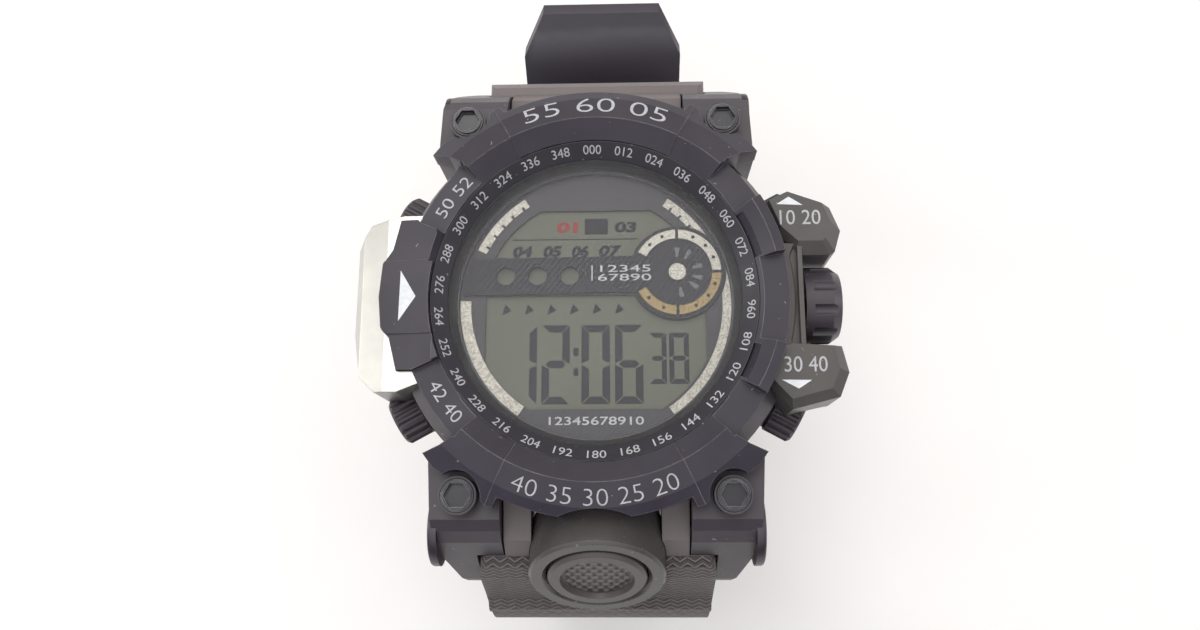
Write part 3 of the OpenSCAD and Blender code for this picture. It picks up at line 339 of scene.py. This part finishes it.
resin = moulded("case resin", (0.040, 0.034, 0.043), (0.057, 0.049, 0.060), 0.38)
bezel_resin = moulded(
    "bezel resin", (0.028, 0.024, 0.036), (0.042, 0.037, 0.051), 0.36, edge_highlight_color=(0.26, 0.25, 0.27), edge_highlight_strength=1.0)
screw_black = moulded(
    "screw black", (0.020, 0.019, 0.027), (0.030, 0.029, 0.038), 0.24, edge_highlight_color=(0.42, 0.42, 0.44), edge_highlight_strength=1.0)
block_resin = moulded("block resin", (0.062, 0.058, 0.056), (0.086, 0.081, 0.076), 0.36)
ring_resin = moulded("ring resin", (0.022, 0.021, 0.028), (0.031, 0.029, 0.037), 0.45)
housing_resin = moulded(
    "housing resin", (0.060, 0.055, 0.056), (0.084, 0.078, 0.077), 0.27, grain=3200.0, strength=0.4)
button_resin = scale_button()
strap_resin = woven()
silver = guard_metal()
pin_steel = metal("blackened steel", (0.10, 0.09, 0.10), 0.36)
steel = metal("steel", (0.62, 0.62, 0.62))
brass = metal("brass", (0.75, 0.6, 0.3), 0.35)
rubber = plain("seal rubber", (0.02, 0.02, 0.02), 0.7)
white_plastic = plain("module plastic", (0.7, 0.7, 0.66))
cream = plain("guide plastic", (0.75, 0.72, 0.58), 0.35)
board = plain("circuit board", (0.05, 0.2, 0.1), 0.4)
zebra = plain("contact rubber", (0.5, 0.3, 0.32), 0.6)
epoxy = plain("epoxy", (0.012, 0.012, 0.013), 0.25)
lcd = plain("display", (0.074, 0.082, 0.047), vary=0.05, grain=90)
print_white = plain("white print", (0.74, 0.77, 0.80), vary=0.06, grain=2200)
print_soft = plain("soft white print", (0.46, 0.47, 0.49), 0.55, grain=2600)
print_red = plain("red print", (0.24, 0.022, 0.016), vary=0.05, gloss=0.2)
print_dim = plain("dim print", (0.10, 0.10, 0.105), gloss=0.3)
segment = plain("display segment", (0.010, 0.010, 0.015), vary=0.1, gloss=0.1)
mark_dark = plain("dial mark", (0.012, 0.012, 0.013), gloss=0.2)
mask_print = dial_weave("dial mask print", (0.012, 0.011, 0.014), (0.021, 0.020, 0.023), 0.0004, 0.10, 0.4)
bridge_print = dial_weave("dial bridge print", (0.004, 0.004, 0.006), (0.028, 0.028, 0.030), 0.0005, 0.3, 0.15)
trim = speckled("silver trim")
trim_split = speckled("small dial trim", True)
crystal = glass()

# Nodes that aren't named here are steel
LOOKS = {
    "case_body": resin, "bezel": bezel_resin, "bezel_screws": screw_black, "number_ring": ring_resin,
    "crystal": crystal, "dial_mask": mask_print, "dial_bridge": bridge_print, "dial_arcs": trim,
    "small_dial_ring": trim_split, "lcd_panel": lcd, "left_guard": silver, "right_guard": block_resin,
    "front_housing": housing_resin, "front_button": button_resin, "side_button": resin, "start_button": resin,
    "reset_button": resin, "light_button": resin, "mode_button": resin, "short_strap": strap_resin,
    "long_strap": strap_resin, "strap_keeper": strap_resin, "light_guide": cream, "strap_pins": pin_steel,
    "backlight_led": cream, "lcd_connectors": zebra, "circuit_board": board, "timing_chip": epoxy,
    "switch_tabs": brass, "buzzer_disc": brass, "module_frame": white_plastic,
    "back_gasket": rubber, "crystal_gasket": rubber, "stem_seals": rubber}
for name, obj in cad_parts.items():
    obj.data.materials.clear()
    obj.data.materials.append(LOOKS.get(name, steel))


# Mesh helpers

def mesh_from(name, bm):
    """A mesh of what was drawn."""
    me = bpy.data.meshes.new(name)
    bm.to_mesh(me)
    bm.free()
    return me


def show(name, me, mat, sharp=None):
    """Adds a mesh as a piece that rides on the watch; edges up to the sharp angle are shaded smooth."""
    me.materials.clear()
    me.materials.append(mat)
    o = bpy.data.objects.new(name, me)
    scene.collection.objects.link(o)
    if sharp is not None:
        me.polygons.foreach_set("use_smooth", [True] * len(me.polygons))
        me.set_sharp_from_angle(angle=math.radians(sharp))
    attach(o, "watch")
    return o


def piece(name, bm, mat, sharp=None):
    """Adds a drawn piece with its doubled points joined."""
    bmesh.ops.remove_doubles(bm, verts=bm.verts, dist=1e-7)
    bmesh.ops.recalc_face_normals(bm, faces=bm.faces)
    return show(name, mesh_from(name, bm), mat, sharp)


def skin(bm, rings):
    """Faces between closed rings of points; a ring may be a single point."""
    for a, b in zip(rings, rings[1:]):
        count = max(len(a), len(b))
        for k in range(count):
            j = (k + 1) % count
            if len(a) == 1:
                bm.faces.new((a[0], b[k], b[j]))
            elif len(b) == 1:
                bm.faces.new((a[k], a[j], b[0]))
            else:
                bm.faces.new((a[k], a[j], b[j], b[k]))


# Straps, pins and springs

def cut_corners(bm, way, tip):
    """Cuts the slanting corners of the free end, which points in the direction way and ends at tip."""
    beside, across, along = 0.0083, 0.907, 0.42
    end = [v.co for v in bm.verts if v.co.dot(way) > tip]
    middle = sum(end, Vector()) / len(end)
    middle.x = 0
    for side in (-1, 1):
        cut = bmesh.ops.bisect_plane(
            bm, geom=bm.verts[:] + bm.edges[:] + bm.faces[:], dist=1e-7, clear_outer=True,
            plane_co=middle + Vector((side * beside, 0, 0)), plane_no=Vector((side * across, 0, 0)) + way * along)
        rim = [e for e in cut["geom_cut"] if isinstance(e, bmesh.types.BMEdge)]
        bmesh.ops.edgeloop_fill(bm, edges=rim)


def dressed_strap(node, free_end=False):
    """A strap with rounded long edges; the long one also gets its free end's slanting corners."""
    # Only edges beside the holes and below the lugs are rounded, if they are sharp and not tiny
    sharp, beside_holes, under_lugs, shortest, rounding = math.radians(38), 0.008, 0.052, 0.0004, 0.00055
    bm = bmesh.new()
    bm.from_mesh(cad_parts[node].data)
    bmesh.ops.remove_doubles(bm, verts=bm.verts, dist=1e-6)
    way = Vector((0, math.cos(TAIL_TILT), math.sin(TAIL_TILT)))
    tip = max(v.co.dot(way) for v in bm.verts) - 2e-5
    if free_end:
        cut_corners(bm, way, tip)
    bmesh.ops.dissolve_limit(bm, angle_limit=math.radians(1.2), verts=bm.verts, edges=bm.edges)
    corners = [e for e in bm.edges if len(e.link_faces) == 2 and e.calc_face_angle(0) > sharp]
    chosen = {e for e in corners if min(abs(v.co.x) for v in e.verts) > beside_holes
              and max(v.co.z for v in e.verts) < under_lugs and e.calc_length() > shortest}
    if free_end:
        chosen |= {e for e in corners if min(v.co.dot(way) for v in e.verts) > tip}
    bmesh.ops.bevel(
        bm, geom=[e for e in corners if e in chosen], offset=rounding, offset_type="OFFSET", segments=2,
        profile=0.6, affect="EDGES", clamp_overlap=True)
    name = "dressed_" + node
    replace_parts(show(name, mesh_from(name, bm), strap_resin, 32), node)


def dressed_pins():
    """Headed strap pins with a turned rim; the heads at 12 o'clock are the smaller pair."""
    bm = bmesh.new()
    steps = 48
    # In mm: the shaft's inner end and radius, the head's underside and top, and where the pins lie
    inner, shaft_r, under, over = 8.3, 0.9, 17.05, 18.1
    pin_y, pin_z = 24.4, HEAD_Z - 9
    for side in (-1, 1):
        for y, r in ((pin_y, 2.3), (-pin_y, 3.9)):
            profile = [
                (inner, 0.0), (inner, shaft_r), (under, shaft_r), (under, r), (17.75, r), (17.98, r - 0.12),
                (over, r - 0.4), (over, r - 0.75), (18.02, r - 0.85), (18.02, 0.0)]
            rings = []
            for x, q in profile:
                turns = [2 * math.pi * k / steps for k in range(steps if q else 1)]
                rings.append([bm.verts.new(Vector((side * x, y + q * math.cos(a), pin_z + q * math.sin(a))) * MM)
                              for a in turns])
            skin(bm, rings)
    bmesh.ops.recalc_face_normals(bm, faces=bm.faces)
    name = "dressed_strap_pins"
    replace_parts(show(name, mesh_from(name, bm), pin_steel, 32), "strap_pins")


def dressed_spring(name):
    """A button's spring, copied and shown in place of the imported one."""
    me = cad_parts[name].data.copy()
    o = show("dressed_" + name, me, steel, 50)
    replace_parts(o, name)
    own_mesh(o)


dressed_strap("long_strap", True)
dressed_strap("short_strap")
dressed_pins()
# Each button with its outward direction and its travel in metres
for button, out, travel in (
        ("start", (0.878817, 0.477159, 0), 0.001), ("reset", (0.878817, -0.477159, 0), 0.001),
        ("light", (-0.878817, 0.477159, 0), 0.001), ("mode", (-0.878817, -0.477159, 0), 0.001),
        ("side", (1, 0, 0), 0.0008), ("front", (0, -0.866025, 0.5), 0.0008)):
    dressed_spring(button + "_spring")


# Printing and lettering: heights on the head, and how far a print stands out and reaches in, all in mm

MASK_TOP = -4.55
LCD_TOP = -4.95
BRIDGE_TOP = MASK_TOP + 0.4
BLOCK_TOP = -0.9
ON_RESIN = (0.03, 0.04)
ON_DIAL = (0.02, 0.02)
ON_LCD = (0.012, 0.02)


def flat(z):
    """Places a drawing on a level plane of the head."""
    return lambda x, y, h: (x, y, HEAD_Z + z + h)


on_lcd = flat(LCD_TOP)
on_bridge = flat(BRIDGE_TOP)
on_block = flat(BLOCK_TOP)


def round_the(angle, radius, height_at, outward=True):
    """Places a drawing on a band of the head, with its tops away from or towards the middle."""
    def put(x, y, h):
        r = radius + (y if outward else -y)
        a = math.radians(angle) + (-x if outward else x) / radius
        return (r * math.cos(a), r * math.sin(a), HEAD_Z + height_at(r) + h)
    return put


def moved(put, cx, cy):
    """Moves a drawing before it is placed."""
    return lambda x, y, h: put(cx + x, cy + y, h)


def ring_height(r):
    """The number ring's slope."""
    return -1.9 + (r - 15.95) * 1.35 / 1.7


def band_height(r):
    """The tall sectors of the bezel, steeper past their ridge."""
    return 1.0 - (r - 19.8) * 0.3269 if r < 22.4 else 0.15 - (r - 22.4) * 0.72


def low_height(r):
    """The low sectors of the bezel."""
    return -0.44 - (r - 17.7) * 0.15


def on_plate(x, y, h):
    """The left plate's slope."""
    return (x, y, HEAD_Z + 0.42 - (abs(x) - 17.7) * 0.1548 + h)


def slab(bm, points, put, relief):
    """A thin closed plate over the outline, with cut sides."""
    out, into = relief
    low = [bm.verts.new(Vector(put(x, y, -into)) * MM) for x, y in points]
    top = [bm.verts.new(Vector(put(x, y, out)) * MM) for x, y in points]
    bm.faces.new(top)
    bm.faces.new(low[::-1])
    skin(bm, [low, top])


def write(bm, text, put, height, width, relief, bold=0.0, slant=0.0):
    """Numbers from the built-in typeface, as thin closed plates that follow the surface."""
    out, into = relief
    cu = bpy.data.curves.new("numbers", "FONT")
    cu.body = text
    cu.extrude = 0.5
    cu.offset = bold
    cu.resolution_u = 4
    o = bpy.data.objects.new("numbers", cu)
    scene.collection.objects.link(o)
    me = bpy.data.meshes.new_from_object(o.evaluated_get(bpy.context.evaluated_depsgraph_get()))
    bpy.data.objects.remove(o)
    xs = [v.co.x for v in me.vertices]
    ys = [v.co.y for v in me.vertices]
    middle_x, middle_y = (min(xs) + max(xs)) / 2, (min(ys) + max(ys)) / 2
    wide, tall = width / (max(xs) - min(xs)), height / (max(ys) - min(ys))
    for v in me.vertices:
        y = (v.co.y - middle_y) * tall
        x = (v.co.x - middle_x) * wide + slant * y
        v.co = Vector(put(x, y, out if v.co.z > 0 else -into)) * MM
    bm.from_mesh(me)
    bpy.data.meshes.remove(me)


def ring_numbers():
    """Degrees round the number ring, with their tops outward in the upper half."""
    bm = bmesh.new()
    for k in range(30):
        angle = 90.8 - 12 * k
        upper = -5 <= angle <= 185 or angle + 360 <= 185
        write(bm, "%03d" % (12 * k), round_the(angle, 16.86, ring_height, upper), 0.82, 2.0, ON_RESIN)
    piece("ring_numbers", bm, print_soft)


def bezel_numbers():
    """Minutes on the tall and the low sectors of the bezel."""
    bm = bmesh.new()
    write(bm, "55 60 05", round_the(89.6, 21.45, band_height), 1.85, 16.2, ON_RESIN, -0.012)
    write(bm, "40 35 30 25 20", round_the(270.3, 21.35, band_height, False), 1.7, 17.4, ON_RESIN, -0.016)
    write(bm, "50 52", round_the(143.8, 19.2, low_height), 1.4, 5.3, ON_RESIN, -0.008)
    write(bm, "42 40", round_the(215.8, 19.35, low_height, False), 1.4, 4.9, ON_RESIN, -0.008)
    piece("bezel_numbers", bm, print_soft)


def guard_prints():
    """Numbers on the right guard's blocks, and triangles there and on the left plate."""
    bm = bmesh.new()
    write(bm, "10 20", moved(on_block, 22.35, 8.6), 1.65, 4.4, ON_RESIN)
    write(bm, "30 40", moved(on_block, 22.25, -7.55), 1.65, 4.5, ON_RESIN)
    piece("block_numbers", bm, print_soft)
    bm = bmesh.new()
    slab(bm, [(19.85, 10.12), (22.7, 9.98), (21.2, 10.95)], on_block, ON_RESIN)
    slab(bm, [(19.65, -9.2), (21.4, -10.15), (22.8, -9.25)], on_block, ON_RESIN)
    slab(bm, [(-20.82, 2.83), (-20.89, -2.73), (-19.05, -0.09)], on_plate, ON_RESIN)
    piece("guard_marks", bm, print_white)


SEGMENTS = {"0": "abcdef", "1": "bc", "2": "abdeg", "3": "abcdg", "6": "acdefg", "8": "abcdefg"}


def digit(bm, which, x0, x1, size):
    """A seven-segment digit between x0 and x1; its size is foot, middle, top, stroke and gap."""
    y0, ym, y1, w, g = size
    h = w / 2
    shapes = {
        "a": [(x0 + g, y1), (x0 + g + w, y1 - w), (x1 - g - w, y1 - w), (x1 - g, y1)],
        "b": [(x1, y1 - g), (x1 - w, y1 - w - g), (x1 - w, ym + h + g), (x1, ym + g)],
        "c": [(x1, ym - g), (x1 - w, ym - h - g), (x1 - w, y0 + w + g), (x1, y0 + g)],
        "d": [(x0 + g, y0), (x1 - g, y0), (x1 - g - w, y0 + w), (x0 + g + w, y0 + w)],
        "e": [(x0, ym - g), (x0, y0 + g), (x0 + w, y0 + w + g), (x0 + w, ym - h - g)],
        "f": [(x0, y1 - g), (x0, ym + g), (x0 + w, ym + h + g), (x0 + w, y1 - w - g)],
        "g": [(x0 + h, ym), (x0 + w + g / 2, ym - h), (x1 - w - g / 2, ym - h), (x1 - h, ym),
              (x1 - w - g / 2, ym + h), (x0 + w + g / 2, ym + h)]}
    for s in SEGMENTS[which]:
        slab(bm, shapes[s], on_lcd, ON_LCD)


def display_marks():
    """The time in large and small digits, a row of triangles, a block, a line and small numbers."""
    large = (-11.12, -6.7, -2.3, 0.84, 0.07)
    small = (-8.95, -6.1, -3.25, 0.55, 0.05)

    def box(x0, x1, y0, y1):
        slab(bm, [(x0, y0), (x1, y0), (x1, y1), (x0, y1)], on_lcd, ON_LCD)

    bm = bmesh.new()
    for which, x0, x1 in (("1", -9.6, -6.47), ("2", -5.95, -2.85), ("0", -1.56, 1.58), ("6", 2.13, 5.23)):
        digit(bm, which, x0, x1, large)
    for which, x0, x1 in (("3", 5.86, 7.8), ("8", 8.08, 10.26)):
        digit(bm, which, x0, x1, small)
    box(-2.45, -1.88, -5.77, -4.87)
    box(-2.45, -1.88, -8.01, -7.12)
    for k in range(6):
        x = 2.51 * k
        slab(bm, [(x - 10.05, 0.11), (x - 10.42, -1.13), (x - 9.36, -0.61)], on_lcd, ON_LCD)
    box(-1.22, 1.42, 8.16, 10.03)
    box(-9.47, 4.79, 7.52, 7.66)
    write(bm, "03", moved(on_lcd, 3.4, 9.0), 1.3, 2.5, ON_LCD, 0.05, 0.1)
    for text, x0, x1 in (("04", -9.44, -6.98), ("05", -6.0, -3.74), ("06", -2.77, -0.61), ("07", 0.24, 2.95)):
        write(bm, text, moved(on_lcd, (x0 + x1) / 2, 6.2), 1.35, x1 - x0 - 0.25, ON_LCD, 0.055, 0.2)
    piece("display_marks", bm, segment)
    bm = bmesh.new()
    write(bm, "01", moved(on_lcd, -3.2, 9.0), 1.3, 2.4, ON_LCD, 0.05, 0.1)
    piece("display_red_number", bm, print_red)


def dial_prints():
    """The label on the bridge, the numbers under the display, and the small dial's wedges and dots."""
    cx, cy = SMALL_DIAL
    wedge = ((1.75, -0.12), (2.85, -0.3), (2.85, 0.3), (1.75, 0.12))
    dots_r, dot_r = 4.35, 0.2
    bm = bmesh.new()
    slab(bm, [(-0.42, 2.56), (-0.3, 2.56), (-0.3, 4.33), (-0.42, 4.33)], on_bridge, ON_DIAL)
    write(bm, "12345", moved(on_bridge, 3.35, 3.95), 0.78, 5.6, ON_DIAL)
    write(bm, "67890", moved(on_bridge, 3.25, 2.93), 0.78, 5.9, ON_DIAL)
    write(bm, "12345678910", moved(flat(MASK_TOP), 0.08, -12.97), 0.9, 10.3, ON_DIAL, 0.008)
    piece("dial_prints", bm, print_soft)
    bm = bmesh.new()
    for degrees in (90, 60, 16, -14, -39, -80):
        c, s = math.cos(math.radians(degrees)), math.sin(math.radians(degrees))
        slab(bm, [(cx + r * c - d * s, cy + r * s + d * c) for r, d in wedge], on_bridge, ON_DIAL)
    piece("small_dial_wedges", bm, print_dim)
    bm = bmesh.new()
    on_ring = flat(BRIDGE_TOP + 0.25)
    for degrees in (134, 112, 65.6, 43, 22, -19, -39.5, -62.4, -111, -137):
        x = cx + dots_r * math.cos(math.radians(degrees))
        y = cy + dots_r * math.sin(math.radians(degrees))
        dot = [(x + dot_r * math.cos(k * math.pi / 6), y + dot_r * math.sin(k * math.pi / 6)) for k in range(12)]
        slab(bm, dot, on_ring, ON_LCD)
    piece("small_dial_dots", bm, mark_dark)


def guard_lip():
    """Curved lip of the right guard, between the bezel's edge and the rim round the side button."""
    bm = bmesh.new()
    rows = []
    count, start, reach = 24, -6.4, 12.2
    foot, edge, rim_x = -2.09, 21.0, 21.95
    # The crest follows the bezel's edge, and runs out to the rim at both ends
    ledge, farthest = 0.5, 21.7
    middle_y, straight, run = -0.3, 4.6, 1.5
    for k in range(count + 1):
        y = start + reach * k / count
        near = math.sqrt(edge ** 2 - y ** 2)
        corner = min(1.0, max(0.0, abs(y - middle_y) - straight) / run)
        crest = near + ledge + (farthest - near - ledge) * corner
        profile = ((near - 0.2, foot), (rim_x, foot), (rim_x, -1.95), (crest + 0.12, -1.9), (crest, -1.45),
                   (near - 0.2, -1.2))
        rows.append([bm.verts.new(Vector((x, y, HEAD_Z + z)) * MM) for x, z in profile])
    skin(bm, rows)
    bm.faces.new(rows[0])
    bm.faces.new(rows[-1][::-1])
    piece("guard_lip", bm, block_resin, 25)


ring_numbers()
bezel_numbers()
guard_prints()
display_marks()
dial_prints()
guard_lip()


# Floor, light and camera

def floor():
    """A pale floor just under the strap."""
    bm = bmesh.new()
    bmesh.ops.create_grid(bm, x_segments=4, y_segments=4, size=1.5)
    me = mesh_from("floor", bm)
    o = bpy.data.objects.new("floor", me)
    scene.collection.objects.link(o)
    o.location.z = -0.0002
    m, t, b = new_material("pale floor")
    tone = ramp(t, noise(t, 30), [(0.3, (0.93, 0.93, 0.915)), (0.7, (0.955, 0.955, 0.94))])
    feed(t, b.inputs["Base Color"], tone)
    b.inputs["Roughness"].default_value = 0.9
    me.materials.append(m)


def studio():
    """A bright ceiling over dimmer walls: warmer behind 12 o'clock, darkest and violet in front."""
    world = bpy.data.worlds.new("studio")
    scene.world = world
    world.use_nodes = True
    t = world.node_tree
    _, y, z = split(t, place(t, "Generated"))
    back = calc(t, "MULTIPLY_ADD", y, 0.5, 0.5)
    walls = ramp(t, back, [
        (0.0, (0.20, 0.18, 0.24)), (0.45, (0.42, 0.40, 0.45)), (0.8, (0.66, 0.63, 0.62)), (1.0, (0.70, 0.67, 0.64))])
    ceiling = ramp(t, back, [(0.0, (0.94, 0.92, 0.97)), (1.0, (1.46, 1.43, 1.36))])
    up = span(t, z, 0.0, 1.0, 0.38, 0.82, "SMOOTHSTEP")
    feed(t, t.nodes["Background"].inputs["Color"], blend(t, up, walls, ceiling))


def area(name, where, size, power, color):
    """A rectangular lamp turned to the head."""
    head = Vector((0, 0, 0.063))
    d = bpy.data.lights.new(name, "AREA")
    d.shape = "RECTANGLE"
    d.size, d.size_y = size
    d.energy = power
    d.color = color
    o = bpy.data.objects.new(name, d)
    o.location = where
    o.rotation_mode = "QUATERNION"
    o.rotation_quaternion = (head - Vector(where)).to_track_quat("-Z", "Y")
    scene.collection.objects.link(o)


def camera():
    """The photograph's camera: its place in mm, and its right and up directions."""
    cam = bpy.data.cameras.new("camera")
    cam.sensor_width = 36.0
    # Focal length and picture width, both in the photograph's pixels
    focal, width = 1004.0, 1200.0
    cam.lens = cam.sensor_width * focal / width
    cam.clip_start = 0.005
    cam.clip_end = 10.0
    o = bpy.data.objects.new("camera", cam)
    scene.collection.objects.link(o)
    right = Vector((0.9994688, -0.00181219, -0.03253963))
    up = Vector((0.00895765, 0.97527264, 0.22082354))
    m = Matrix((right, up, right.cross(up))).transposed().to_4x4()
    m.translation = Vector((3.9818, -25.7905, 169.65)) * MM
    o.matrix_world = m
    scene.camera = o


floor()
studio()
area("left box", (-0.45, 0.07, 0.20), (0.12, 0.30), 0.45, (1.0, 0.99, 0.97))
area("right box", (0.45, 0.06, 0.11), (0.08, 0.25), 0.2, (1.0, 0.97, 0.93))
area("key", (-0.08, 0.16, 0.55), (0.30, 0.22), 0.6, (1.0, 0.98, 0.95))
camera()
scene.view_settings.view_transform = "Standard"
